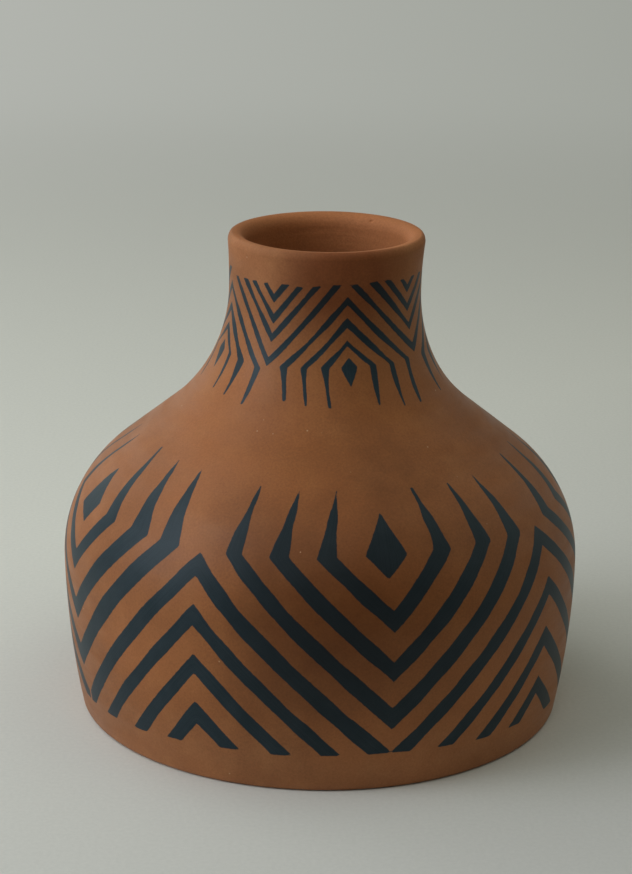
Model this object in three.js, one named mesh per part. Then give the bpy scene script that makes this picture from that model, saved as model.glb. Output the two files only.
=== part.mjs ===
// Clay vessel: a wide round belly on a flat base, a sloping shoulder and a narrow upright neck.
// It is turned about the Z axis and stands on the plane z = 0, with its axis at the origin.
// Each mesh is one of the sections of clay that were joined one on another as the wall was built up.
// Sizes are in millimetres. The profile is drawn in the (r, z) plane, and a wall has an outside
// and an inside: a ring is one point of the profile on the outside and the one behind it inside.

import * as THREE from 'three';

const { degToRad: radians, lerp } = THREE.MathUtils;

// Outside of the body, from the foot up to the neck
const bellyDiameter = 235;
const bellyHeight = 71;
const footInset = 7.5; // how far the foot's edge lies inside the belly
const footEdgeRadius = 2.5;
const shoulderArcRadius = 62;
const shoulderSlope = 38.4; // degrees above level, where the shoulder runs straight
const bellyJointLean = 26; // degrees off upright, where the upper wall is joined on the belly

// Outside of the neck and lip
const neckDiameter = 86; // at the waist, its narrowest ring
const neckLength = 60; // from where shoulder and neck would meet in a corner up to the lip's top
const neckAboveWaist = 12; // from the waist up to the lip
const neckJointLean = 25; // degrees off upright, where the neck is joined on the shoulder
const lipHeight = 14;
const lipFlare = 1.25; // how far the lip's edge stands out beyond the waist
const lipOuterRounding = 2;
const lipInnerDrop = 6; // from the lip's top down to the straight bore

// Thickness of the clay
const baseThickness = 8;
const bodyWall = 5.5;
const neckWall = 6.5;
const lipWall = 8;

// Fineness of the faceted surfaces
const turnSteps = 60;
const wallStep = 11;
const edgeSteps = 4;

const clayRoughness = 0.55;
const clayColours = {
  base: 0x5c3b28,
  lower_wall: 0x6e4630,
  belly_wall: 0x7d4f35,
  upper_wall: 0x84553b,
  shoulder: 0x8a5a3f,
  neck: 0x7d4f35,
  lip: 0x6e4630,
};

const bellyRadius = bellyDiameter / 2;
const neckRadius = neckDiameter / 2;
const shoulderTurn = radians(90 - shoulderSlope);

const point = (r, z) => new THREE.Vector2(r, z);

const onCircle = (centre, radius, angle) =>
  point(centre.x + radius * Math.cos(angle), centre.y + radius * Math.sin(angle));

// An arc of the wall. Its angles are measured about the centre of its outside, with 0 pointing
// away from the vessel's axis. The wall bulges away from that centre, or with hollow set it
// curves round it from outside the vessel. Its thickness goes evenly from the first to the last.
function makeArc({ centre, radius, from, to, walls, hollow = false }) {
  const side = hollow ? 1 : -1;
  const ringAt = (share) => {
    const angle = lerp(from, to, share);
    const wall = lerp(walls[0], walls[1], share);
    return {
      outside: onCircle(centre, radius, angle),
      inside: onCircle(centre, radius + side * wall, angle),
    };
  };
  const steps = Math.ceil((radius * Math.abs(to - from)) / wallStep);
  const shares = Array.from({ length: steps - 1 }, (_, i) => (i + 1) / steps);
  return { first: ringAt(0), between: shares.map(ringAt), last: ringAt(1) };
}

// The lower wall rises in one long arc that is upright at the belly.
const lowerRadius = (bellyHeight ** 2 + footInset ** 2) / (2 * footInset);
const lowerCentre = point(bellyRadius - lowerRadius, bellyHeight);
const lowerAngleAt = (height) => Math.asin((height - bellyHeight) / lowerRadius);
const lowerArc = makeArc({
  centre: lowerCentre,
  radius: lowerRadius,
  from: lowerAngleAt(baseThickness),
  to: 0,
  walls: [bodyWall, bodyWall],
});
const bellyRing = {
  outside: point(bellyRadius, bellyHeight),
  inside: point(bellyRadius - bodyWall, bellyHeight),
};

// Over the belly the wall turns in, until it reaches the shoulder's slope.
const upperCentre = point(bellyRadius - shoulderArcRadius, bellyHeight);
const bellyJointTurn = radians(bellyJointLean);
const bellyArc = makeArc({
  centre: upperCentre,
  radius: shoulderArcRadius,
  from: 0,
  to: bellyJointTurn,
  walls: [bodyWall, bodyWall],
});
const upperArc = makeArc({
  centre: upperCentre,
  radius: shoulderArcRadius,
  from: bellyJointTurn,
  to: shoulderTurn,
  walls: [bodyWall, bodyWall],
});
const bellyJointRing = upperArc.first;
const slopeRing = upperArc.last;

// The shoulder runs on straight to where it would meet the neck's waist in a corner.
// A hollow arc rounds that corner, from the shoulder's slope to upright at the waist.
const slopeStart = slopeRing.outside;
const slopeLength = (slopeStart.x - neckRadius) / Math.sin(shoulderTurn);
const cornerHeight = slopeStart.y + slopeLength * Math.cos(shoulderTurn);
const overallHeight = cornerHeight + neckLength;
const waistHeight = overallHeight - lipHeight - neckAboveWaist;
const rootRadius = (waistHeight - cornerHeight) / Math.tan(shoulderTurn / 2);
const rootCentre = point(neckRadius + rootRadius, waistHeight);
const jointLean = radians(neckJointLean);
const jointWall = lerp(neckWall, bodyWall, jointLean / shoulderTurn);
const shoulderRootArc = makeArc({
  centre: rootCentre,
  radius: rootRadius,
  from: Math.PI + shoulderTurn,
  to: Math.PI + jointLean,
  walls: [bodyWall, jointWall],
  hollow: true,
});
const neckRootArc = makeArc({
  centre: rootCentre,
  radius: rootRadius,
  from: Math.PI + jointLean,
  to: Math.PI,
  walls: [jointWall, neckWall],
  hollow: true,
});
const neckJointRing = shoulderRootArc.last;

// Above its waist the neck leans out a little, in one arc that goes on up the lip.
const lipRadius = neckRadius + lipFlare;
const lipEdgeHeight = overallHeight - lipOuterRounding;
const flareRise = lipEdgeHeight - waistHeight;
const flareRadius = (flareRise ** 2 + lipFlare ** 2) / (2 * lipFlare);
const flareCentre = point(neckRadius + flareRadius, waistHeight);
const flareAngleAt = (height) => Math.PI - Math.asin((height - waistHeight) / flareRadius);
const lipJointHeight = overallHeight - lipHeight;
const boreRadius = lipRadius - lipWall;
const lipJointRing = {
  outside: onCircle(flareCentre, flareRadius, flareAngleAt(lipJointHeight)),
  inside: point(boreRadius, lipJointHeight),
};
const waistRing = {
  outside: point(neckRadius, waistHeight),
  inside: point(neckRadius - neckWall, waistHeight),
};

// A quarter of an ellipse about its centre, from one angle to another, ends included.
function quarterRound(centre, halfWidth, halfHeight, from, to) {
  return Array.from({ length: edgeSteps + 1 }, (_, i) => {
    const angle = lerp(from, to, i / edgeSteps);
    return point(centre.x + halfWidth * Math.cos(angle), centre.y + halfHeight * Math.sin(angle));
  });
}

// Turns a closed outline about the vessel's axis.
function turnedMesh(name, outline) {
  const geometry = new THREE.LatheGeometry(outline, turnSteps);
  geometry.rotateX(Math.PI / 2);
  const material = new THREE.MeshStandardMaterial({
    color: clayColours[name],
    roughness: clayRoughness,
    metalness: 0,
  });
  const mesh = new THREE.Mesh(geometry, material);
  mesh.name = name;
  return mesh;
}

// A section of the wall: up its outside, across its upper joint, down its inside and closed below.
function wallSection(name, rings) {
  const outside = rings.map((ring) => ring.outside);
  const inside = rings.map((ring) => ring.inside).reverse();
  return turnedMesh(name, [...outside, ...inside, outside[0]]);
}

// A flat slab with a softly rounded foot. Its edge carries on the lower wall's arc.
function makeBase() {
  const edgeRise = bellyHeight - footEdgeRadius;
  const edgeReach = Math.sqrt((lowerRadius - footEdgeRadius) ** 2 - edgeRise ** 2);
  const edgeCentre = point(lowerCentre.x + edgeReach, footEdgeRadius);
  const edgeEnd = -Math.atan2(edgeRise, edgeReach);
  const edge = quarterRound(edgeCentre, footEdgeRadius, footEdgeRadius, -Math.PI / 2, edgeEnd);
  const rim = point(lowerArc.first.outside.x, baseThickness);
  return turnedMesh('base', [point(0, 0), ...edge, rim, point(0, baseThickness)]);
}

// The lower wall stands on the slab, so its first ring is cut level.
function makeLowerWall() {
  const insideReach = Math.sqrt(
    (lowerRadius - bodyWall) ** 2 - (bellyHeight - baseThickness) ** 2,
  );
  const standingRing = {
    outside: point(lowerArc.first.outside.x, baseThickness),
    inside: point(lowerCentre.x + insideReach, baseThickness),
  };
  return wallSection('lower_wall', [standingRing, ...lowerArc.between, bellyRing]);
}

const makeBellyWall = () =>
  wallSection('belly_wall', [bellyRing, ...bellyArc.between, bellyJointRing]);

const makeUpperWall = () =>
  wallSection('upper_wall', [bellyJointRing, ...upperArc.between, slopeRing]);

const makeShoulder = () =>
  wallSection('shoulder', [
    slopeRing,
    shoulderRootArc.first,
    ...shoulderRootArc.between,
    neckJointRing,
  ]);

const makeNeck = () =>
  wallSection('neck', [neckJointRing, ...neckRootArc.between, waistRing, lipJointRing]);

// The lip is a thicker roll: a small rounding outside, and a longer one down into the bore.
function makeLip() {
  const crest = point(lipRadius - lipOuterRounding, lipEdgeHeight);
  const outerEdge = quarterRound(crest, lipOuterRounding, lipOuterRounding, 0, Math.PI / 2);
  const drop = point(crest.x, overallHeight - lipInnerDrop);
  const innerWidth = crest.x - boreRadius;
  const innerEdge = quarterRound(drop, innerWidth, lipInnerDrop, Math.PI / 2, Math.PI);
  return turnedMesh('lip', [
    lipJointRing.outside,
    ...outerEdge,
    ...innerEdge.slice(1),
    lipJointRing.inside,
    lipJointRing.outside,
  ]);
}

const vessel = new THREE.Group();
vessel.name = 'clay_vessel';
vessel.add(
  makeBase(),
  makeLowerWall(),
  makeBellyWall(),
  makeUpperWall(),
  makeShoulder(),
  makeNeck(),
  makeLip(),
);

export default vessel;
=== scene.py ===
# Clay vessel: burnished red-brown clay, with blue-black bands of slip round its belly and neck
import math

import bpy
import numpy as np
from mathutils import Matrix, Vector


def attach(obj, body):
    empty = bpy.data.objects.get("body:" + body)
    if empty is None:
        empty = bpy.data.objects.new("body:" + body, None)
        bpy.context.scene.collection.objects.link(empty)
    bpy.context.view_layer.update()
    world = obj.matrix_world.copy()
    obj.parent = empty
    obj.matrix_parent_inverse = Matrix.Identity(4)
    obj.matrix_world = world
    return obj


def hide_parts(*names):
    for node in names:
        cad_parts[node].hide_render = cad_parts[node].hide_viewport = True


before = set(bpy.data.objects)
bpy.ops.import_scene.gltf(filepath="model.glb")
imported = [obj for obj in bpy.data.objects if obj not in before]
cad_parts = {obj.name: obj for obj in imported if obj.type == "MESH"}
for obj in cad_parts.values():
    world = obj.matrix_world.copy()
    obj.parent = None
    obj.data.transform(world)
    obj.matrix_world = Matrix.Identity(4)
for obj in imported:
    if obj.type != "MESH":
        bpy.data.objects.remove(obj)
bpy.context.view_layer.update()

mm = 0.001
nearZero = 1e-9

camera = {
    "place": (-2.63, -1006.0, 434.4),  # mm
    "lookDown": 16.755,  # degrees below level
    "roll": 0.778,
    "lens": 95.18,
    "sensor": 36,  # mm
    "shiftUp": -0.0183,
    "clip": (0.02, 30),  # metres
}


def placeCamera():
    data = bpy.data.cameras.new("photoCamera")
    data.lens = camera["lens"]
    data.sensor_width = camera["sensor"]
    data.shift_y = camera["shiftUp"]
    data.clip_start, data.clip_end = camera["clip"]
    view = bpy.data.objects.new("photoCamera", data)
    tilt = Matrix.Rotation(math.radians(90 - camera["lookDown"]), 4, "X")
    turn = Matrix.Rotation(math.radians(camera["roll"]), 4, "Z")
    view.matrix_world = Matrix.Translation(Vector(camera["place"]) * mm) @ tilt @ turn
    bpy.context.collection.objects.link(view)
    bpy.context.scene.camera = view
    print("camera placed")


placeCamera()

# The outline, in mm and degrees. Outside and inside are drawn as in the clay's solid.
outline = {
    "bellyRadius": 117.5,
    "bellyHeight": 71.0,
    "footInset": 7.5,
    "footEdgeRadius": 2.5,
    "shoulderArcRadius": 62.0,
    "shoulderSlope": 38.4,
    "bellyJointLean": 26.0,
    "neckRadius": 43.0,
    "neckLength": 60.0,
    "neckAboveWaist": 12.0,
    "neckJointLean": 25.0,
    "lipHeight": 14.0,
    "lipFlare": 1.25,
    "lipOuterRounding": 2.0,
    "lipRoundOver": (2.0, 3.6),  # width and height of the lip's outer rounding
    "lipInnerDrop": 7.0,
    "lipFlatness": 2.5,  # 2 for a round inner edge, more for a flatter top
    "baseThickness": 8.0,
    "bodyWall": 5.5,
    "neckWall": 6.5,
    "lipWall": 8.0,
    "insideCove": 6.0,  # radius where the wall runs into the floor inside
}

fineness = {
    "turnSteps": 720,
    "paintedRow": 1.0,  # mm between the rows of a painted wall
    "insideRow": 1.3,
    "edgeRow": 0.35,
    "slabRows": 45,
    "lipRows": (17, 31),  # over the lip's outer and inner rounding
    "boreRows": 9,
}


def onCircle(centre, radius, angle):
    return np.stack([centre[0] + radius * np.cos(angle), centre[1] + radius * np.sin(angle)], -1)


def steps(length, row):
    return np.linspace(0, 1, max(2, math.ceil(length / row) + 1))


def arcPoints(centre, radius, start, end, row):
    share = steps(abs(end - start) * np.mean(radius), row)
    return onCircle(centre, radius, start + (end - start) * share)


def wallArc(centre, radius, start, end, walls, row, hollow=False):
    # the same share of the turn outside and inside, so that a joint cuts straight through the wall
    side = 1 if hollow else -1
    share = steps(abs(end - start) * radius, row)
    angle = start + (end - start) * share
    wall = walls[0] + (walls[1] - walls[0]) * share
    return onCircle(centre, radius, angle), onCircle(centre, radius + side * wall, angle)


def drawOutline(form):
    # gives each section's outside from the foot up and its inside from the floor up
    fine = fineness["paintedRow"]
    lowRadius = (form["bellyHeight"] ** 2 + form["footInset"] ** 2) / (2 * form["footInset"])
    lowCentre = (form["bellyRadius"] - lowRadius, form["bellyHeight"])
    floor = form["baseThickness"]
    footRadius = form["footEdgeRadius"]
    body = [form["bodyWall"]] * 2

    edgeRise = form["bellyHeight"] - footRadius
    edgeReach = math.sqrt((lowRadius - footRadius) ** 2 - edgeRise**2)
    edgeCentre = (lowCentre[0] + edgeReach, footRadius)
    edgeEnd = -math.atan2(edgeRise, edgeReach)
    startAngle = math.asin((floor - form["bellyHeight"]) / lowRadius)
    standing = np.linspace(0, edgeCentre[0], fineness["slabRows"])
    slab = np.concatenate([
        np.stack([standing, 0 * standing], -1),
        arcPoints(edgeCentre, footRadius, -math.pi / 2, edgeEnd, fineness["edgeRow"])[1:],
        arcPoints(lowCentre, lowRadius, edgeEnd, startAngle, fine)[1:],
    ])

    outer, _ = wallArc(lowCentre, lowRadius, startAngle, 0, body, fine)
    insideRadius = lowRadius - form["bodyWall"]
    insideRise = form["bellyHeight"] - floor
    insideHeights = floor + insideRise * steps(insideRise, fineness["insideRow"])
    insideReach = np.sqrt(insideRadius**2 - (form["bellyHeight"] - insideHeights) ** 2)
    cove = np.clip(form["insideCove"] - (insideHeights - floor), 0, None)
    coveIn = form["insideCove"] - np.sqrt(form["insideCove"] ** 2 - cove**2)
    inner = np.stack([lowCentre[0] + insideReach - coveIn, insideHeights], -1)
    floorRows = np.linspace(0, inner[0, 0], fineness["slabRows"])
    slabInside = np.stack([floorRows, 0 * floorRows + floor], -1)
    sections = {"base": (slab, slabInside), "lower_wall": (outer, inner)}

    highCentre = (form["bellyRadius"] - form["shoulderArcRadius"], form["bellyHeight"])
    joint = math.radians(form["bellyJointLean"])
    turn = math.radians(90 - form["shoulderSlope"])
    sections["belly_wall"] = wallArc(highCentre, form["shoulderArcRadius"], 0, joint, body, fine)
    sections["upper_wall"] = wallArc(highCentre, form["shoulderArcRadius"], joint, turn, body, fine)

    slopeStart, slopeInside = sections["upper_wall"][0][-1], sections["upper_wall"][1][-1]
    slopeLength = (slopeStart[0] - form["neckRadius"]) / math.sin(turn)
    corner = slopeStart[1] + slopeLength * math.cos(turn)
    top = corner + form["neckLength"]
    waist = top - form["lipHeight"] - form["neckAboveWaist"]
    rootRadius = (waist - corner) / math.tan(turn / 2)
    rootCentre = (form["neckRadius"] + rootRadius, waist)
    lean = math.radians(form["neckJointLean"])
    jointWall = form["neckWall"] + (form["bodyWall"] - form["neckWall"]) * lean / turn
    root, rootInside = wallArc(
        rootCentre, rootRadius, math.pi + turn, math.pi + lean,
        [form["bodyWall"], jointWall], fine, hollow=True,
    )
    share = steps(np.hypot(*(root[0] - slopeStart)), fine)[:-1, None]
    sections["shoulder"] = (
        np.concatenate([slopeStart + (root[0] - slopeStart) * share, root]),
        np.concatenate([slopeInside + (rootInside[0] - slopeInside) * share, rootInside]),
    )

    neck, neckInside = wallArc(
        rootCentre, rootRadius, math.pi + lean, math.pi,
        [jointWall, form["neckWall"]], fine, hollow=True,
    )
    lipRadius = form["neckRadius"] + form["lipFlare"]
    lipEdge = top - form["lipOuterRounding"]
    flareRadius = ((lipEdge - waist) ** 2 + form["lipFlare"] ** 2) / (2 * form["lipFlare"])
    flareCentre = (form["neckRadius"] + flareRadius, waist)
    lipJoint = top - form["lipHeight"]
    bore = lipRadius - form["lipWall"]
    jointAngle = math.pi - math.asin((lipJoint - waist) / flareRadius)
    overWidth, overHeight = form["lipRoundOver"]
    edgeAngle = math.pi - math.asin((top - overHeight - waist) / flareRadius)
    flare = arcPoints(flareCentre, flareRadius, math.pi, jointAngle, fine)
    share = np.linspace(0, 1, len(flare))[1:, None]
    boreLine = neckInside[-1] + (np.array([bore, lipJoint]) - neckInside[-1]) * share
    sections["neck"] = (np.concatenate([neck, flare[1:]]), np.concatenate([neckInside, boreLine]))

    outside = arcPoints(flareCentre, flareRadius, jointAngle, edgeAngle, fine)
    crest = outside[-1, 0] - overWidth
    innerWidth, drop = crest - bore, form["lipInnerDrop"]
    overRows, innerRows = fineness["lipRows"]
    quarter = np.linspace(0, math.pi / 2, overRows)[1:]
    overOut = crest + overWidth * np.cos(quarter)
    overUp = top - overHeight * (1 - np.sin(quarter))
    over = np.stack([overOut, overUp], -1)
    quarter = np.linspace(0, math.pi / 2, innerRows)
    flat = 2 / form["lipFlatness"]
    inward, fall = np.sin(quarter[::-1]) ** flat, 1 - np.cos(quarter[::-1]) ** flat
    rolled = np.stack([crest - innerWidth * inward, top - drop * fall], -1)
    boreRows = np.linspace(lipJoint, top - drop, fineness["boreRows"])[:-1]
    sections["lip"] = (
        np.concatenate([outside, over]),
        np.concatenate([np.stack([0 * boreRows + bore, boreRows], -1), rolled]),
    )
    return sections


# How far the hand-built wall strays from a turned one, in mm
handWork = {
    "seed": 11,
    "unevenness": 0.16,
    "wavesRound": (2, 3, 4, 5, 7, 9, 12, 16),  # how many of each kind go round the wall
    "waveLean": 0.09,  # radians round for each mm up
    "waveHeight": 2.6,  # of all the waves together, before they are scaled
    "calmRadius": 40,  # nearer the axis and lower than this the waves die out
    "calmHeight": 10,
    "lipWave": 0.1,
    "lipWaves": [(2, 1.0, 1.1), (3, 0.6, 4.0)],  # how many go round, size and start
    "lipTilt": 0.8,  # how much lower the lip is at the front than at the back
    "lipHeights": (205, 220),  # where the lip's waves and tilt start and are full
    "sideways": [  # height, and how far the wall has drifted to the right there
        (0, 0.35), (60, 0.06), (71, 0.0), (110, -0.17),
        (150, -0.24), (185, 0.5), (205, 0.7), (220, 1.1),
    ],
    "pits": [  # degrees round, radius, height, width, depth
        (147.4, 37.3, 217.7, 0.8, 0.6),
        (146, 37.5, 217.8, 0.6, 0.5),
    ],
}


def unevenWall(angle, height):
    # a few slow waves round and up the wall, always inward of the outline
    rng = np.random.default_rng(handWork["seed"])
    wave = 0 * angle
    for around in handWork["wavesRound"]:
        up = rng.uniform(-handWork["waveLean"], handWork["waveLean"])
        start = rng.uniform(0, 2 * math.pi)
        wave = wave + np.cos(around * angle + up * height + start) / around**0.5
    return handWork["unevenness"] * (wave / handWork["waveHeight"] - 1)


def surfaceNormals(points):
    around = np.roll(points, -1, 1) - np.roll(points, 1, 1)
    up = np.gradient(points, axis=0)
    normals = np.cross(around, up)
    length = np.linalg.norm(normals, axis=-1, keepdims=True)
    return np.where(length > nearZero, normals / np.maximum(length, nearZero), 0)


def shapeSurface(rows):
    # turns the outline's rows into a grid of points and their normals, in mm
    turn = np.arange(fineness["turnSteps"]) * 2 * math.pi / fineness["turnSteps"]
    angle, radius = np.meshgrid(turn, rows[:, 0])
    height = np.repeat(rows[:, 1:2], len(turn), 1)
    outward = np.clip(radius / handWork["calmRadius"], 0, 1)
    upward = np.clip(height / handWork["calmHeight"], 0, 1)
    pushed = radius + unevenWall(angle, height) * (outward * upward)
    heights, shifts = zip(*handWork["sideways"])
    sideways = np.interp(height, heights, shifts)
    waves = handWork["lipWaves"]
    wave = sum(size * np.cos(around * angle + start) for around, size, start in waves)
    wave = wave / sum(size for _, size, _ in waves)
    dip = handWork["lipWave"] * (wave - 1) - handWork["lipTilt"] * (1 + np.cos(angle)) / 2
    lowered = height + dip * np.interp(height, handWork["lipHeights"], (0, 1))
    x = pushed * np.sin(angle) + sideways
    y = -pushed * np.cos(angle)
    points = np.stack([x, y, lowered], -1)
    normals = surfaceNormals(points)
    for pitAngle, pitRadius, pitHeight, width, depth in handWork["pits"]:
        pitX = pitRadius * math.sin(math.radians(pitAngle)) + shifts[-1]
        pitY = -pitRadius * math.cos(math.radians(pitAngle))
        middle = [pitX, pitY, pitHeight]
        dent = depth * np.exp(-2 * (np.linalg.norm(points - middle, axis=-1) / width) ** 2)
        points = points - normals * dent[..., None]
    return points, surfaceNormals(points)


# The painted bands. Angles are degrees round from the front to the right. Heights are mm along
# the wall from the foot's edge. A stripe is given where it crosses its axis, as its lower and its
# upper edge. Each finger's row gives, in degrees from the axis, its outer knee, inner knee and tip,
# then the heights of knee and tip. Chevrons stand between the motifs. From a chevron's corner its
# stripe runs so many degrees and rises so many mm to where it meets the next motif.
bodyBand = {
    "fingersUp": True,
    "stripes": [(76, 85.5), (53.5, 63), (31, 41.5)],
    "fingers": [
        (15.7, 11.2, 10.8, 107.8, 141),
        (26.8, 22.3, 21.9, 107.9, 141),
        (37.6, 32.6, 32.1, 107.5, 141),
    ],
    "fingerWidth": 0.5,
    "kneeRise": 0.9,  # mm from a finger's outer knee up to its inner one
    "diamond": [(-0.2, 128.3), (-5.3, 109), (-0.6, 98.5), (4.3, 108.5)],
    "motifs": [
        {
            "axis": -69.2, "foot": -65.2,
            "diamond": [(-0.5, 127.8), (-5.9, 104.6), (0.3, 98.4), (3.8, 109.8)],
            "left": [
                (17.2, 14.3, 10.5, 107.8, 146.5),
                (28, 25.2, 19.8, 107.9, 145),
                (40, 35.8, 32, 107.5, 143),
            ],
            "right": [
                (13.9, 9.3, 8.4, 107.2, 146.5),
                (26.4, 20.4, 20.2, 107.4, 144.6),
                (36, 30.3, 30.7, 106.6, 143.8),
            ],
        },
        {
            "axis": 15.4, "foot": 15.7,
            "left": [
                (16.1, 11.7, 10.7, 107.9, 140.2),
                (26.8, 22.3, 21.2, 107.6, 139.6),
                (36.9, 32.9, 32.5, 107.2, 140.6),
            ],
            "right": [
                (15.4, 10.9, 10.8, 108, 138.6),
                (26.8, 22.2, 22.7, 107.4, 138.2),
                (37.2, 32.6, 33.1, 106.6, 138.6),
            ],
        },
        {
            "axis": 102.7,
            "left": [
                (13.5, 9, 7.5, 107.8, 140),
                (25.8, 21.3, 20.5, 107.9, 140.8),
                (38, 33.3, 33.3, 107.5, 140.8),
            ],
            "right": [
                (15.2, 11, 10.6, 108, 141),
                (26.5, 22, 21.5, 107.6, 142),
                (37.2, 32.4, 32.6, 107.4, 140),
            ],
        },
        {"axis": 196.8, "foot": 196.4},
    ],
    "chevronStripes": [(96.3, 105.9), (75, 83.7), (52.6, 62), (29.8, 39.5)],
    "chevrons": [
        {
            "axis": [-27.4, -27, -26.8, -26.9], "leftRuns": (37, 36.8, 35, 34),
            "stripes": [(95.8, 106.1), (75, 84.1), (53, 62.5), (29.5, 39.9)],
        },
        {
            "axis": [59, 58.7, 57.9, 57],
            "stripes": [(96.6, 106), (74.3, 83), (50.8, 60), (27.8, 37)],
        },
        {"axis": [149.8] * 4},
        {"axis": [243.9] * 4},
    ],
    "rise": -86,
    "lowerBorder": [
        (-66, 15.6), (-46, 16.6), (-33, 18.2), (-20, 19.3), (15, 19.8), (30, 18.6), (40, 17),
        (50, 17), (66, 14), (110, 17.5), (160, 17), (205, 18.6), (250, 17.4),
    ],
}
neckBand = {
    "start": 162,  # mm along the wall, above which only this band is painted
    "fingersUp": False,
    "stripes": [(207, 210.3), (215.4, 219.8), (225.3, 229.2)],
    "fingers": [
        (14.5, 10.8, 10.8, 198, 181),
        (26, 22, 22, 198, 180.5),
        (38, 33.5, 33.5, 198, 180),
    ],
    "fingerWidth": 0.9,
    "kneeRise": 0,
    "diamond": [(0.8, 202.5), (-3.3, 198), (1.2, 188.5), (4.8, 198.3)],
    "motifs": [
        {
            "axis": -72.5,
            "right": [
                (14, 10.5, 11, 198, 181),
                (25.9, 21.1, 21.2, 196.8, 180),
                (38.3, 34, 34, 195.6, 178.3),
            ],
        },
        {
            "axis": 13,
            "left": [
                (14, 10.2, 9, 198.3, 180.6),
                (25, 21.6, 19.8, 197.7, 181),
                (36.2, 32.2, 30.2, 197.6, 183),
            ],
            "right": [
                (16.3, 12.4, 13.4, 198.3, 180.4),
                (28, 24.2, 26.2, 198, 178.4),
                (39.8, 35.6, 36.3, 198.2, 178),
            ],
        },
        {"axis": 103.9},
        {"axis": 195.7},
    ],
    "chevronStripes": [(196.8, 201), (207.3, 211.2), (216, 219.8), (224.8, 228.4)],
    "chevrons": [
        {
            "axis": [-31] * 4, "rises": (43, 41),
            "stripes": [(196.8, 201), (207.3, 211.3), (215.7, 219.6), (224.6, 228.6)],
        },
        {
            "axis": [58.9, 58, 57, 56.3], "rises": (34.5, 36),
            "stripes": [(200.3, 204), (209.8, 214), (218.2, 222.2), (227, 230.6)],
        },
        {"axis": [149.8] * 4},
        {"axis": [241.6] * 4},
    ],
    "rise": 38,
    "upperBorder": [
        (-82, 235.8), (-71.5, 235.8), (-69, 232.6), (-50, 232.6), (-42, 233.2),
        (-22, 233.4), (-12, 233), (3, 234.2), (25, 234.4), (35, 235),
        (50, 234), (100, 233), (150, 234), (200, 232.8), (250, 233.4),
    ],
}
brushHand = {
    "seed": 4,
    "straying": 0.3,  # mm or degrees by which a corner misses its mark at the back
    "tipStraying": 0.9,  # mm by which a finger is longer or shorter there
    "footReach": 100,  # mm up the wall over which a motif leans from its foot to its axis
    "tremble": 0.2,  # mm by which an edge wanders
    "wanders": 9,  # waves that make up the wandering
    "wanderLengths": (9, 30),  # mm
    "reach": 12,  # mm or degrees from a stroke at which its distance is no longer needed
    "streakStep": 7,  # keeps the streaks of two strokes apart
}


def fingerStroke(motif, low, high, number, band, rng):
    # one stripe round a diamond, from the tip of its left finger to the tip of its right one
    foot = motif.get("foot", motif["axis"])
    edges = []
    for at in (low, high):
        share = min(at / brushHand["footReach"], 1)
        edges.append([(foot + (motif["axis"] - foot) * share, at)])
    outer, inner = edges if band["fingersUp"] else edges[::-1]
    for side, name in ((-1, "left"), (1, "right")):
        finger = np.array(motif.get(name, band["fingers"])[number], float)
        if name not in motif:
            finger[:4] += rng.normal(0, brushHand["straying"], 4)
            finger[4] += rng.normal(0, brushHand["tipStraying"])
        outerKnee, innerKnee, tip, kneeHeight, tipHeight = finger
        tipAngle = motif["axis"] + side * tip
        outerEnds = [
            (motif["axis"] + side * outerKnee, kneeHeight),
            (tipAngle + side * band["fingerWidth"], tipHeight),
        ]
        innerEnds = [
            (motif["axis"] + side * innerKnee, kneeHeight + band["kneeRise"]),
            (tipAngle, tipHeight),
        ]
        if side < 0:
            outer, inner = outerEnds[::-1] + outer, innerEnds[::-1] + inner
        else:
            outer, inner = outer + outerEnds, inner + innerEnds
    return outer, inner


def nextAxis(axis, axes, side):
    # how many degrees it is to the neighbouring axis on that side
    return min((side * (other - axis)) % 360 for other in axes)


def drawStrokes(band, rng):
    # each motif's stripes and its diamond, then the chevrons between the motifs
    strokes = []
    for motif in band["motifs"]:
        for number, (low, high) in enumerate(band["stripes"]):
            strokes.append(fingerStroke(motif, low, high, number, band, rng))
        strokes.append(diamondStroke(motif["axis"], motif.get("diamond", band["diamond"])))
    feet = [motif.get("foot", motif["axis"]) for motif in band["motifs"]]
    for chevron in band["chevrons"]:
        stripes = chevron.get("stripes", band["chevronStripes"])
        leftRise, rightRise = chevron.get("rises", (band["rise"], band["rise"]))
        for number, (axis, (low, high)) in enumerate(zip(chevron["axis"], stripes)):
            left, right = (nextAxis(axis, feet, side) for side in (-1, 1))
            if "leftRuns" in chevron:
                left = chevron["leftRuns"][number]
            strokes.append(tuple(
                [(axis - left, at + leftRise), (axis, at), (axis + right, at + rightRise)]
                for at in (low, high)
            ))
    return strokes


def diamondStroke(axis, corners):
    top, left, bottom, right = [(axis + along, at) for along, at in corners]
    return [top, left, bottom], [top, right, bottom]


def shortWay(angle):
    # degrees, counted the short way round from 0
    return (angle + 180) % 360 - 180


def edgeDistance(angle, height, radius, edge):
    # mm from each point to one edge of a stroke, measured on the wall round that point
    toMm = np.radians(radius)
    nearest = np.full(angle.shape, np.inf)
    for start, end in zip(edge[:-1], edge[1:]):
        x0 = shortWay(start[0] - angle) * toMm
        x1 = x0 + (end[0] - start[0]) * toMm
        y0 = start[1] - height
        y1 = end[1] - height
        dx, dy = x1 - x0, y1 - y0
        share = np.clip(-(x0 * dx + y0 * dy) / np.maximum(dx * dx + dy * dy, nearZero), 0, 1)
        nearest = np.minimum(nearest, np.hypot(x0 + share * dx, y0 + share * dy))
    return nearest


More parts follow.
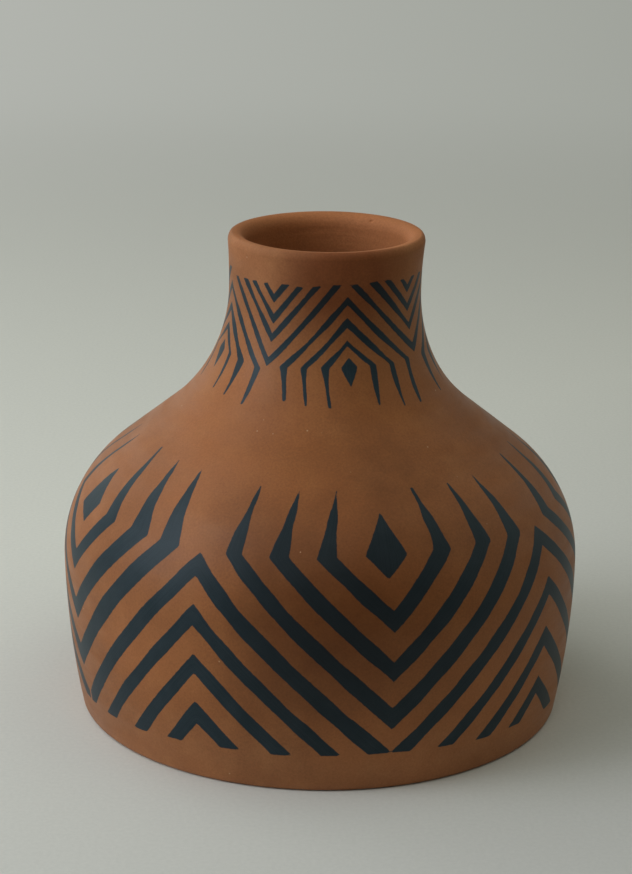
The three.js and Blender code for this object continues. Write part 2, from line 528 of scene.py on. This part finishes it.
def insideStroke(angle, height, corners):
    middle = np.mean([corner[0] for corner in corners])
    turned = shortWay(angle - middle)
    inside = np.zeros(angle.shape, bool)
    for start, end in zip(corners, corners[1:] + corners[:1]):
        crosses = (start[1] > height) != (end[1] > height)
        rise = end[1] - start[1] or nearZero
        at = (start[0] - middle) + (height - start[1]) / rise * (end[0] - start[0])
        inside ^= crosses & (turned < at)
    return inside


def paintStrokes(angle, height, radius, strokes):
    # signed mm to the nearest stroke's edge, under 0 in the slip, and mm off that stroke's middle
    reach = brushHand["reach"]
    edge = np.full(angle.shape, float(reach))
    across = np.zeros(angle.shape)
    for number, (outer, inner) in enumerate(strokes):
        corners = list(outer) + list(inner)[::-1]
        angles = [corner[0] for corner in corners]
        heights = [corner[1] for corner in corners]
        middle = (min(angles) + max(angles)) / 2
        halfWidth = (max(angles) - min(angles)) / 2 + reach
        near = np.abs(shortWay(angle - middle)) < halfWidth
        near &= (height > min(heights) - reach) & (height < max(heights) + reach)
        here = (angle[near], height[near], radius[near])
        toOuter = edgeDistance(*here, outer)
        toInner = edgeDistance(*here, inner)
        distance = np.minimum(toOuter, toInner)
        for start, end in ((outer[0], inner[0]), (outer[-1], inner[-1])):
            distance = np.minimum(distance, edgeDistance(*here, [start, end]))
        inside = insideStroke(angle[near], height[near], corners)
        distance = np.where(inside, -distance, distance)
        closer = distance < edge[near]
        edge[near] = np.where(closer, distance, edge[near])
        streak = (toOuter - toInner) / 2 + brushHand["streakStep"] * number
        across[near] = np.where(closer, streak, across[near])
    return edge, across


def wanderingHand(angle, height, radius, rng):
    # slow waves in the point's own place, so that they close up at the back
    x, y = radius * np.sin(np.radians(angle)), -radius * np.cos(np.radians(angle))
    wander = 0 * angle
    for _ in range(brushHand["wanders"]):
        waves = rng.normal(0, 1, 3)
        waves *= 2 * math.pi / rng.uniform(*brushHand["wanderLengths"]) / np.linalg.norm(waves)
        start = rng.uniform(0, 2 * math.pi)
        wander = wander + np.sin(waves[0] * x + waves[1] * y + waves[2] * height + start)
    return brushHand["tremble"] * wander / math.sqrt(brushHand["wanders"])


def paintBands(angle, height, radius):
    # angle in degrees, height and radius in mm
    rng = np.random.default_rng(brushHand["seed"])
    body, bodyAcross = paintStrokes(angle, height, radius, drawStrokes(bodyBand, rng))
    neck, neckAcross = paintStrokes(angle, height, radius, drawStrokes(neckBand, rng))
    borderAngles, borderHeights = zip(*bodyBand["lowerBorder"])
    body = np.maximum(body, np.interp(angle, borderAngles, borderHeights, period=360) - height)
    borderAngles, borderHeights = zip(*neckBand["upperBorder"])
    neck = np.maximum(neck, height - np.interp(angle, borderAngles, borderHeights, period=360))
    onNeck = height > neckBand["start"]
    edge = np.where(onNeck, neck, body) + wanderingHand(angle, height, radius, rng)
    return edge, np.where(onNeck, neckAcross, bodyAcross)


def newMaterial(name):
    material = bpy.data.materials.new(name)
    material.use_nodes = True
    tree = material.node_tree
    tree.nodes.clear()
    output = tree.nodes.new("ShaderNodeOutputMaterial")
    shader = tree.nodes.new("ShaderNodeBsdfPrincipled")
    tree.links.new(shader.outputs["BSDF"], output.inputs["Surface"])
    return material, tree, shader


def addNode(tree, kind, values=None, **settings):
    node = tree.nodes.new(kind)
    for name, value in settings.items():
        setattr(node, name, value)
    for socket, value in (values or {}).items():
        if isinstance(value, bpy.types.NodeSocket):
            tree.links.new(value, node.inputs[socket])
        else:
            node.inputs[socket].default_value = value
    return node


def noise(tree, place, scale, detail, roughness, stretch=None, fourth=None):
    # noise on the object's own coordinates: scale counts features to the metre
    if stretch:
        place = addNode(tree, "ShaderNodeVectorMath", {0: place, 1: stretch}, operation="MULTIPLY")
        place = place.outputs[0]
    values = {"Vector": place, "Scale": scale, "Detail": detail, "Roughness": roughness}
    if fourth is not None:
        values["W"] = fourth
    kind = "4D" if fourth is not None else "3D"
    return addNode(tree, "ShaderNodeTexNoise", values, noise_dimensions=kind).outputs["Fac"]


def spread(tree, value, low, high, toLow=0.0, toHigh=1.0):
    values = {"Value": value, "From Min": low, "From Max": high, "To Min": toLow, "To Max": toHigh}
    return addNode(tree, "ShaderNodeMapRange", values).outputs["Result"]


def combine(tree, operation, first, second):
    return addNode(tree, "ShaderNodeMath", {0: first, 1: second}, operation=operation).outputs[0]


def blend(tree, share, first, second, kind="MIX"):
    node = tree.nodes.new("ShaderNodeMix")
    node.data_type = "RGBA"
    node.blend_type = kind
    for socket, value in ((0, share), (6, first), (7, second)):
        if isinstance(value, bpy.types.NodeSocket):
            tree.links.new(value, node.inputs[socket])
        else:
            node.inputs[socket].default_value = value
    return node.outputs[2]


def srgb(red, green, blue):
    # a colour as it is seen, 0 to 255, in the values that a shader needs
    seen = [value / 255 for value in (red, green, blue)]
    linear = [v / 12.92 if v <= 0.04045 else ((v + 0.055) / 1.055) ** 2.4 for v in seen]
    return (*linear, 1.0)


clayNoise = {  # features to the metre, detail and roughness
    "cloud": (13, 3, 0.55),
    "mottle": (75, 4, 0.6),
    "grain": (1100, 2, 0.6),
    "dents": (110, 2, 0.5),
    "burnishing": (30, 2, 0.5),
    "wiping": (26, 3, 0.5),
    "brushEdge": (420, 3, 0.6),
    "brushStreaks": (25, 2, 0.55),
}
clayMix = {  # from and to which noise a look changes, and its strength at either end
    "redCloud": (0.38, 0.62),
    "paleMottle": (0.45, 0.8, 0, 0.55),
    "grainShade": (0.25, 0.75, 0.86, 1.14),
    "wander": (0.3, 0.7),
    "burnishing": (0.35, 0.65),
    "wash": (0.52, 0.92),
}
burnishedClay = {
    "red": srgb(150, 90, 47),
    "brown": srgb(132, 79, 41),
    "pale": srgb(157, 99, 54),
    # Tints by height over the outside clay: painted light that lightens and blues each band for how
    # the lamps fall on it, and at the foot also paler clay.
    "paleClayAndPaintedLight": {  # where it starts and where it is full, as heights in metres
        "belly": {"tint": (1.10, 1.17, 1.42, 1.0), "heights": (0.14, 0.098)},
        "foot": {"tint": (1.06, 1.14, 1.3, 1.0), "heights": (0.034, 0.012)},
        "shoulder": {"tint": (1.08, 1.07, 1.1, 1.0), "heights": (0.078, 0.1)},
        "neck": {"tint": (1.01, 1.14, 1.44, 1.0), "heights": (0.15, 0.185)},
        "lip": {"tint": (1.19, 1.2, 1.28, 1.0), "heights": (0.196, 0.21)},
    },
    "palerWander": 0.006,  # metres by which those heights wander
    # Dark patches on the front of the belly and of the rim: partly fire clouds in the clay, partly
    # painted shade on the side that faces the camera.
    "fireCloudsAndShade": {  # degrees round from the front, then metres: out from the axis, up, and reach
        "belly": {
            "tint": (0.48, 0.42, 0.33, 1.0), "place": (6, 0.1175, 0.086), "reach": (0.078, 0.02),
        },
        "lip": {
            "tint": (0.7, 0.54, 0.44, 1.0), "place": (15, 0.044, 0.208), "reach": (0.034, 0.012),
        },
    },
    "cloudRagged": 0.15,  # how far a cloud's edge wanders, as a share of its reach
    "speck": srgb(186, 150, 118),
    "speckStrength": 0.8,
    "speckCells": 240.0,  # to the metre
    "speckSize": (0.10, 0.06),  # as shares of a cell, where a speck starts and is full
    "speckChance": (0.955, 0.965),  # of 1, how many cells stay empty
    "largeSpecks": [  # degrees round from the front, metres out from the axis and up
        (-25.8, 0.0638, 0.1439),
        (-5.8, 0.062, 0.1457),
        (20.6, 0.1131, 0.0914),
    ],
    "largeSpeckRadius": 0.00045,
    "roughness": (0.39, 0.5),  # on a burnishing stroke, and between strokes
    "matteLip": (0.195, 0.213, 0, 0.2),  # from and to which height in metres, and how much rougher
    "shine": 0.18,  # of clay and slip alike
    "strokeStretch": (1, 1, 6),  # how much finer the burnishing strokes are upwards
    "relief": {"burnishing": 0.16, "grain": 0.10, "dents": 0.30},
    "reliefDepth": 0.00014,  # metres
}
bandSlip = {
    "dark": srgb(17, 34, 41),
    "washed": srgb(27, 55, 66),
    # The slip is darkened in the same dark patches: partly scorching, partly painted shade.
    "scorchedAndShaded": (0.5, 0.42, 0.42, 1.0),  # its tint within the fire clouds
    "roughness": 0.42,
    "edgeSoftness": 0.14,  # mm
    "edgeRagged": 0.6,  # mm
    "streakShift": 1.1,  # how quickly the streaks change across a stroke
    "mottled": 0.35,  # how much the clay's mottling shows in the wash
    "washedCover": (0, 1, 1.0, 0.95),  # how well the slip covers, where it is dark and washed
    "relief": 0.25,
}
insideClay = {
    # Paler than the outside clay, partly as painted light that brightens the bore.
    "red": srgb(176, 109, 65),
    "brown": srgb(157, 96, 55),
    "roughness": 0.74,
    "shine": 0.3,
    "wipeStretch": (1, 1, 9),
    "grainRelief": 0.3,
    "reliefDepth": 0.0003,  # metres
}


def heightOf(tree, place):
    return addNode(tree, "ShaderNodeSeparateXYZ", {0: place}).outputs["Z"]


def shaded(tree, colour, shade):
    shade = addNode(tree, "ShaderNodeCombineColor", {0: shade, 1: shade, 2: shade}).outputs[0]
    return blend(tree, 1.0, colour, shade, "MULTIPLY")


def distanceFrom(tree, place, spot):
    # a spot is given as degrees round from the front, then metres out from the axis and up
    turn, out, up = math.radians(spot[0]), spot[1], spot[2]
    middle = (out * math.sin(turn), -out * math.cos(turn), up)
    node = addNode(tree, "ShaderNodeVectorMath", {0: place, 1: middle}, operation="DISTANCE")
    return node.outputs["Value"]


def clayColour(tree, place, look):
    # also gives the share of each dark patch at a place, part fire cloud and part painted shade
    cloud, mottle, grain = (
        noise(tree, place, *clayNoise[kind]) for kind in ("cloud", "mottle", "grain")
    )
    colour = blend(tree, spread(tree, cloud, *clayMix["redCloud"]), look["brown"], look["red"])
    if "pale" in look:
        colour = blend(tree, spread(tree, mottle, *clayMix["paleMottle"]), colour, look["pale"])
    shade = spread(tree, grain, *clayMix["grainShade"])
    cloudsAndShade = []
    # painted light by height, at the foot also paler clay
    if "paleClayAndPaintedLight" in look:
        ragged = look["palerWander"]
        wander = spread(tree, cloud, *clayMix["wander"], -ragged, ragged)
        height = combine(tree, "ADD", heightOf(tree, place), wander)
        for paler in look["paleClayAndPaintedLight"].values():
            share = spread(tree, height, *paler["heights"])
            colour = blend(tree, share, colour, paler["tint"], "MULTIPLY")
        # dark patches: part fire cloud, part painted shade
        for fired in look["fireCloudsAndShade"].values():
            ragged = look["cloudRagged"] * fired["reach"][0]
            wander = spread(tree, cloud, *clayMix["wander"], -ragged, ragged)
            away = combine(tree, "ADD", distanceFrom(tree, place, fired["place"]), wander)
            cloudsAndShade.append(spread(tree, away, *fired["reach"]))
            colour = blend(tree, cloudsAndShade[-1], colour, fired["tint"], "MULTIPLY")
    return shaded(tree, colour, shade), grain, mottle, cloudsAndShade


def temperSpecks(tree, place):
    look = burnishedClay
    cells = addNode(tree, "ShaderNodeTexVoronoi", {"Vector": place, "Scale": look["speckCells"]})
    chosen = addNode(tree, "ShaderNodeSeparateColor", {0: cells.outputs["Color"]}).outputs[0]
    small = spread(tree, cells.outputs["Distance"], *look["speckSize"])
    specks = combine(tree, "MULTIPLY", small, spread(tree, chosen, *look["speckChance"]))
    size = look["largeSpeckRadius"]
    for spot in look["largeSpecks"]:
        large = spread(tree, distanceFrom(tree, place, spot), size, size / 2)
        specks = combine(tree, "MAXIMUM", specks, large)
    return specks


def addPart(tree, value, more, strength):
    return combine(tree, "ADD", value, combine(tree, "MULTIPLY", more, strength))


def paintSlip(tree, place, colour, roughness, mottle, cloudsAndShade):
    # lays the slip over the clay's colour and roughness, and gives its share too
    edge = addNode(tree, "ShaderNodeAttribute", attribute_name="slipEdge").outputs["Fac"]
    across = addNode(tree, "ShaderNodeAttribute", attribute_name="slipAcross").outputs["Fac"]
    ragged = combine(tree, "SUBTRACT", noise(tree, place, *clayNoise["brushEdge"]), 0.5)
    edge = addPart(tree, edge, ragged, bandSlip["edgeRagged"])
    soft = bandSlip["edgeSoftness"]
    slip = spread(tree, edge, soft, -soft)
    across = combine(tree, "MULTIPLY", across, bandSlip["streakShift"])
    streaks = noise(tree, place, *clayNoise["brushStreaks"], fourth=across)
    wash = addPart(tree, streaks, mottle, bandSlip["mottled"])
    wash = spread(tree, wash, *clayMix["wash"])
    slipColour = blend(tree, wash, bandSlip["dark"], bandSlip["washed"])
    # darker slip in the dark patches: part scorching, part painted shade
    for share in cloudsAndShade:
        slipColour = blend(tree, share, slipColour, bandSlip["scorchedAndShaded"], "MULTIPLY")
    cover = combine(tree, "MULTIPLY", slip, spread(tree, wash, *bandSlip["washedCover"]))
    rough = addNode(tree, "ShaderNodeMix", {0: slip, 2: roughness, 3: bandSlip["roughness"]})
    return blend(tree, cover, colour, slipColour), rough.outputs[0], slip


def finishMaterial(tree, shader, colour, height, look):
    values = {"Strength": 1.0, "Distance": look["reliefDepth"], "Height": height}
    bump = addNode(tree, "ShaderNodeBump", values)
    tree.links.new(colour, shader.inputs["Base Color"])
    tree.links.new(bump.outputs["Normal"], shader.inputs["Normal"])
    shader.inputs["Specular IOR Level"].default_value = look["shine"]


def makeBurnishedClay(name, painted):
    material, tree, shader = newMaterial(name)
    look = burnishedClay
    place = addNode(tree, "ShaderNodeTexCoord").outputs["Object"]
    colour, grain, mottle, cloudsAndShade = clayColour(tree, place, look)
    burnishing = noise(tree, place, *clayNoise["burnishing"], stretch=look["strokeStretch"])
    specks = combine(tree, "MULTIPLY", temperSpecks(tree, place), look["speckStrength"])
    colour = blend(tree, specks, colour, look["speck"])
    roughness = spread(tree, burnishing, *clayMix["burnishing"], *look["roughness"])
    matte = spread(tree, heightOf(tree, place), *look["matteLip"])
    roughness = combine(tree, "ADD", roughness, matte)
    relief = look["relief"]
    height = combine(tree, "MULTIPLY", burnishing, relief["burnishing"])
    height = addPart(tree, height, grain, relief["grain"])
    height = addPart(tree, height, noise(tree, place, *clayNoise["dents"]), relief["dents"])
    if painted:
        colour, roughness, slip = paintSlip(tree, place, colour, roughness, mottle, cloudsAndShade)
        height = addPart(tree, height, slip, bandSlip["relief"])
    tree.links.new(roughness, shader.inputs["Roughness"])
    finishMaterial(tree, shader, colour, height, look)
    return material


def makeInsideClay():
    material, tree, shader = newMaterial("insideClay")
    look = insideClay
    place = addNode(tree, "ShaderNodeTexCoord").outputs["Object"]
    colour, grain, *_ = clayColour(tree, place, look)
    wiping = noise(tree, place, *clayNoise["wiping"], stretch=look["wipeStretch"])
    height = addPart(tree, wiping, grain, look["grainRelief"])
    shader.inputs["Roughness"].default_value = look["roughness"]
    finishMaterial(tree, shader, colour, height, look)
    return material


materials = {
    "slipPaintedClay": makeBurnishedClay("slipPaintedClay", True),
    "burnishedClay": makeBurnishedClay("burnishedClay", False),
    "insideClay": makeInsideClay(),
}
print("materials mixed")


def gridFaces(first, rows, columns):
    # quads over a grid of rows that closes on itself round the vessel
    row = np.arange(rows - 1)[:, None] * columns
    column = np.arange(columns)[None, :]
    following = (column + 1) % columns
    above = row + columns
    quads = np.stack([row + column, row + following, above + following, above + column], -1)
    return first + quads.reshape(-1, 4)


def wallFaces(outerRows, innerRows, closedBelow):
    # with each face's material, 0 for the finish and 1 for inside, and whether it is smooth
    columns = fineness["turnSteps"]
    column = np.arange(columns)
    following = (column + 1) % columns
    innerFirst = outerRows * columns
    outerTop = innerFirst - columns
    innerTop = innerFirst + (innerRows - 1) * columns
    topCorners = [outerTop + column, outerTop + following, innerTop + following, innerTop + column]
    lowCorners = [innerFirst + column, innerFirst + following, following, column]
    parts = [
        gridFaces(0, outerRows, columns),
        gridFaces(innerFirst, innerRows, columns)[:, ::-1],
        np.stack(topCorners, -1),
    ]
    if not closedBelow:
        parts.append(np.stack(lowCorners, -1))
    kind = np.concatenate([np.full(len(part), n > 0) for n, part in enumerate(parts)])
    smooth = np.concatenate([np.full(len(part), n < 2) for n, part in enumerate(parts)])
    faces = np.concatenate(parts).tolist()
    if closedBelow:
        # a fan of triangles fills the middle below and another the middle of the floor
        middle = innerTop + columns
        around = list(zip(column.tolist(), following.tolist()))
        faces += [[middle, b, a] for a, b in around]
        faces += [[middle + 1, innerFirst + a, innerFirst + b] for a, b in around]
        kind = np.concatenate([kind, np.zeros(columns, bool), np.ones(columns, bool)])
        smooth = np.concatenate([smooth, np.ones(2 * columns, bool)])
    return faces, kind, smooth


def buildPiece(name, node, outside, inside, finish):
    # outside and inside are grids of points and normals from the bottom up, and outside also
    # has its distances to the slip's edge and across its strokes
    outerPoints, outerNormals, edge, across = outside
    innerPoints, innerNormals = inside
    closedBelow = np.ptp(outerPoints[0, :, :2]) < nearZero
    if closedBelow:
        outerPoints, outerNormals = outerPoints[1:], outerNormals[1:]
        edge, across = edge[1:], across[1:]
        innerPoints, innerNormals = innerPoints[1:], innerNormals[1:]
    faces, kind, smooth = wallFaces(len(outerPoints), len(innerPoints), closedBelow)
    points = np.concatenate([outerPoints.reshape(-1, 3), innerPoints.reshape(-1, 3)]) * mm
    normals = np.concatenate([outerNormals.reshape(-1, 3), innerNormals.reshape(-1, 3)])
    if closedBelow:
        middles = [[0, 0, outerPoints[0, 0, 2] * mm], [0, 0, innerPoints[0, 0, 2] * mm]]
        points = np.concatenate([points, middles])
        normals = np.concatenate([normals, [[0, 0, -1], [0, 0, 1]]])
    mesh = bpy.data.meshes.new(name)
    mesh.from_pydata(points.tolist(), [], faces)
    mesh.polygons.foreach_set("material_index", kind.astype(np.int32))
    mesh.polygons.foreach_set("use_smooth", smooth)
    mesh.materials.append(materials[finish])
    mesh.materials.append(materials["insideClay"])
    unpainted = np.full(len(points) - edge.size, float(brushHand["reach"]))
    for label, painted in (("slipEdge", edge), ("slipAcross", across)):
        layer = mesh.attributes.new(label, "FLOAT", "POINT")
        values = np.concatenate([painted.reshape(-1), unpainted])
        layer.data.foreach_set("value", values.astype(np.float32))
    keepNormals(mesh, normals)
    piece = bpy.data.objects.new(name, mesh)
    bpy.context.collection.objects.link(piece)
    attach(piece, "root")
    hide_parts(node)
    print("built", name, len(mesh.polygons), "faces")


def keepNormals(mesh, normals):
    # the wall's own normals run on over the joints, so that no joint shows as a line
    corners = np.empty(len(mesh.loops), np.int32)
    mesh.loops.foreach_get("vertex_index", corners)
    starts = np.empty(len(mesh.polygons), np.int32)
    totals = np.empty(len(mesh.polygons), np.int32)
    smooth = np.empty(len(mesh.polygons), bool)
    flat = np.empty(len(mesh.polygons) * 3, np.float32)
    mesh.polygons.foreach_get("loop_start", starts)
    mesh.polygons.foreach_get("loop_total", totals)
    mesh.polygons.foreach_get("use_smooth", smooth)
    mesh.polygons.foreach_get("normal", flat)
    face = np.repeat(np.arange(len(starts)), totals)
    kept = np.where(smooth[face][:, None], normals[corners], flat.reshape(-1, 3)[face])
    mesh.normals_split_custom_set(kept.tolist())


pieces = {
    "base": ("footSlab", "burnished_clay", "burnishedClay"),
    "lower_wall": ("lowerWall", "slip_painted_clay", "slipPaintedClay"),
    "belly_wall": ("bellyWall", "slip_painted_clay", "slipPaintedClay"),
    "upper_wall": ("upperWall", "slip_painted_clay", "slipPaintedClay"),
    "shoulder": ("shoulderWall", "slip_painted_clay", "slipPaintedClay"),
    "neck": ("neckWall", "slip_painted_clay", "slipPaintedClay"),
    "lip": ("lipRoll", "burnished_clay", "burnishedClay"),
}


def buildVessel():
    sections = drawOutline(outline)
    outer, inner = (
        np.concatenate([sections["base"][side]] + [
            sections[node][side][1:] for node in pieces if node != "base"
        ])
        for side in (0, 1)
    )
    whole = np.concatenate([outer, inner[::-1][1:]])
    points, normals = shapeSurface(whole)
    outerPoints, outerNormals = points[: len(outer)], normals[: len(outer)]
    innerPoints = points[len(outer) - 1:][::-1]
    innerNormals = normals[len(outer) - 1:][::-1]
    print("outline drawn")
    # along the wall, the height 0 is the flat edge of the foot
    along = np.concatenate([[0], np.cumsum(np.hypot(*np.diff(outer, axis=0).T))])
    standing = np.flatnonzero(outer[:, 1] < nearZero)[-1]
    along = along - along[standing]
    turn = np.arange(fineness["turnSteps"]) * 360 / fineness["turnSteps"]
    angle, height = np.meshgrid(turn, along)
    radius = np.repeat(outer[:, :1], len(turn), 1)
    edge, across = paintBands(angle, height, radius)
    print("bands painted")
    outerFirst, innerFirst = 0, 0
    for node, (name, slot, finish) in pieces.items():
        outerLast = outerFirst + len(sections[node][0]) - 1
        innerLast = innerFirst + len(sections[node][1]) - 1
        rows = slice(outerFirst, outerLast + 1)
        insideRows = slice(innerFirst, innerLast + 1)
        outside = (outerPoints[rows], outerNormals[rows], edge[rows], across[rows])
        inside = (innerPoints[insideRows], innerNormals[insideRows])
        buildPiece(name, node, outside, inside, finish)
        outerFirst, innerFirst = outerLast, innerLast


buildVessel()

# The studio. A lamp stands at so many degrees round from the front to the right and above level.
studio = {
    # The floor's colour as it is seen is painted lighter on the left and darker to the right and
    # front: painted falloff of the window light.
    "floorLitLeft": srgb(225, 221, 212),
    "floorShadedRight": srgb(204, 200, 195),
    "roomShade": srgb(80, 81, 76),
    # The backdrop glows, painted lighter on the left and darker on the right as a painted falloff.
    "backdropLitLeft": srgb(183, 185, 179),
    "backdropShadedRight": srgb(154, 157, 149),
    "floorRings": (0.4, 0.9, 1.3, 1.7),  # metres from the vessel, up to where it curves up
    "curve": 0.9,
    "curveRows": 25,
    "wallTop": 2.6,
    "columns": 96,
    "paperRoughness": 0.8,
    "paperShine": 0.2,
    "fibre": (500, 3, 0.6),  # as clayNoise
    "fibreShade": (0.3, 0.7, 0.97, 1.03),
    "paintedShadeTurns": (-0.35, 0.25),  # metres to the right, where it turns to the right's colour
    "shadeFrom": (0.2, 0.45),  # metres away, where light on the clay comes from the room's shade
    "shadeSide": (-0.5, 0.0),
    "backdropFrom": (0.4, 1.9),
    "backdropSide": (-0.7, 0.7),
    "lampDistance": 1.75,
    "lampAim": (0, 0, 0.1),
    "lamps": {
        "windowLight": {
            "round": -104, "above": 52, "size": (1.6, 1.0),
            "power": 6.8, "colour": (0.96, 1.01, 1.03),
        },
        "windowMiddle": {
            "round": -75, "above": 31, "size": (0.9, 1.0),
            "power": 5.3, "colour": (0.9, 1.0, 1.1),
        },
        "windowFoot": {
            "round": -75, "above": 14, "size": (0.9, 0.8),
            "power": 5.0, "colour": (0.9, 1.0, 1.1),
        },
        "windowEdge": {
            "round": -58, "above": 43, "size": (0.8, 1.2),
            "power": 4.9, "colour": (0.93, 1.0, 1.06),
        },
        "windowBack": {
            "round": -135, "above": 24, "size": (1.2, 1.2),
            "power": 2.8, "colour": (0.93, 1.05, 1.02),
        },
        "roomLight": {
            "round": 96, "above": 65, "size": (1.6, 1.6),
            "power": 1.9, "colour": (1.05, 1.12, 0.83),
        },
        "roomSide": {
            "round": 96, "above": 36, "size": (2.4, 2.0),
            "power": 4.3, "colour": (1.0, 1.06, 0.94),
        },
        "frontLight": {
            "round": 0, "above": 50, "size": (0.9, 0.9),
            "power": 2.0, "colour": (0.95, 1.05, 1.0),
        },
        "ceiling": {
            "round": 0, "above": 80, "size": (1.5, 1.5),
            "power": 2.4, "colour": (0.97, 1.06, 0.97),
        },
    },
    "roomGlow": 0.12,
    "roomColour": (0.97, 1.04, 0.99, 1.0),
}


def makeFloorPaper():
    # near the vessel lit paper with a painted falloff, lighter on the left and darker to the right
    # and front, and farther off a pale backdrop that glows, painted lighter on the left, and
    # doesn't light the clay
    material, tree, shader = newMaterial("paleFloor")
    place = addNode(tree, "ShaderNodeTexCoord").outputs["Object"]
    away = addNode(tree, "ShaderNodeVectorMath", {0: place}, operation="LENGTH").outputs["Value"]
    side = addNode(tree, "ShaderNodeSeparateXYZ", {0: place}).outputs["X"]
    fibre = spread(tree, noise(tree, place, *studio["fibre"]), *studio["fibreShade"])
    seen = addNode(tree, "ShaderNodeLightPath").outputs
    seenBy = combine(tree, "ADD", seen["Is Camera Ray"], seen["Is Glossy Ray"])
    seenBy = combine(tree, "ADD", seenBy, seen["Is Transmission Ray"])
    seenBy = combine(tree, "MINIMUM", seenBy, 1.0)
    unseen = combine(tree, "SUBTRACT", 1.0, seenBy)
    dim = combine(tree, "MULTIPLY", spread(tree, away, *studio["shadeFrom"]), unseen)
    dim = combine(tree, "MULTIPLY", dim, spread(tree, side, *studio["shadeSide"]))
    depth = addNode(tree, "ShaderNodeSeparateXYZ", {0: place}).outputs["Y"]
    # painted shade: the paper turns darker to the right and front
    paper = spread(tree, combine(tree, "SUBTRACT", side, depth), *studio["paintedShadeTurns"])
    paper = combine(tree, "MULTIPLY", paper, seenBy)
    colour = blend(tree, paper, studio["floorLitLeft"], studio["floorShadedRight"])
    colour = blend(tree, dim, colour, studio["roomShade"])
    tree.links.new(shaded(tree, colour, fibre), shader.inputs["Base Color"])
    shader.inputs["Roughness"].default_value = studio["paperRoughness"]
    shader.inputs["Specular IOR Level"].default_value = studio["paperShine"]
    near, far = studio["backdropFrom"]
    share = addNode(
        tree, "ShaderNodeMapRange", {"Value": away, "From Min": near, "From Max": far},
        interpolation_type="SMOOTHSTEP",
    ).outputs["Result"]
    share = combine(tree, "MULTIPLY", share, seenBy)
    # painted falloff: the backdrop's glow is lighter on the left
    glow = spread(tree, side, *studio["backdropSide"])
    glow = blend(tree, glow, studio["backdropLitLeft"], studio["backdropShadedRight"])
    backdrop = addNode(tree, "ShaderNodeEmission", {"Color": glow, "Strength": 1.0}).outputs[0]
    mixed = addNode(tree, "ShaderNodeMixShader", {0: share, 1: shader.outputs[0], 2: backdrop})
    output = tree.nodes["Material Output"]
    tree.links.new(mixed.outputs[0], output.inputs["Surface"])
    return material


def layFloor():
    # a round floor that curves up into a wall on every side
    rings, curve = studio["floorRings"], studio["curve"]
    reach = rings[-1]
    rising = np.linspace(0, math.pi / 2, studio["curveRows"])[1:]
    profile = [(r, 0.0) for r in rings]
    profile += [(reach + curve * math.sin(t), curve - curve * math.cos(t)) for t in rising]
    profile.append((reach + curve, studio["wallTop"]))
    columns = studio["columns"]
    turn = np.arange(columns) * 2 * math.pi / columns
    points = [(r * math.cos(t), r * math.sin(t), z) for r, z in profile for t in turn]
    faces = gridFaces(0, len(profile), columns)[:, ::-1].tolist()
    faces += [[len(points), i, (i + 1) % columns] for i in range(columns)]
    points.append((0, 0, 0))
    mesh = bpy.data.meshes.new("studioFloor")
    mesh.from_pydata(points, [], faces)
    mesh.polygons.foreach_set("use_smooth", [True] * len(faces))
    mesh.materials.append(makeFloorPaper())
    floor = bpy.data.objects.new("studioFloor", mesh)
    bpy.context.collection.objects.link(floor)


def hangLamps():
    for name, look in studio["lamps"].items():
        lamp = bpy.data.lights.new(name, "AREA")
        lamp.shape = "RECTANGLE"
        lamp.size, lamp.size_y = look["size"]
        lamp.energy = look["power"]
        lamp.color = look["colour"]
        stand = bpy.data.objects.new(name, lamp)
        turn, above = math.radians(look["round"]), math.radians(look["above"])
        level = math.cos(above)
        toLamp = Vector((math.sin(turn) * level, -math.cos(turn) * level, math.sin(above)))
        stand.location = toLamp * studio["lampDistance"] + Vector(studio["lampAim"])
        stand.rotation_euler = (-toLamp).to_track_quat("-Z", "Y").to_euler()
        bpy.context.collection.objects.link(stand)
    world = bpy.data.worlds.new("room")
    world.use_nodes = True
    room = world.node_tree.nodes["Background"]
    room.inputs["Color"].default_value = studio["roomColour"]
    room.inputs["Strength"].default_value = studio["roomGlow"]
    bpy.context.scene.world = world
    bpy.context.scene.view_settings.view_transform = "Standard"


layFloor()
hangLamps()
print("studio lit")
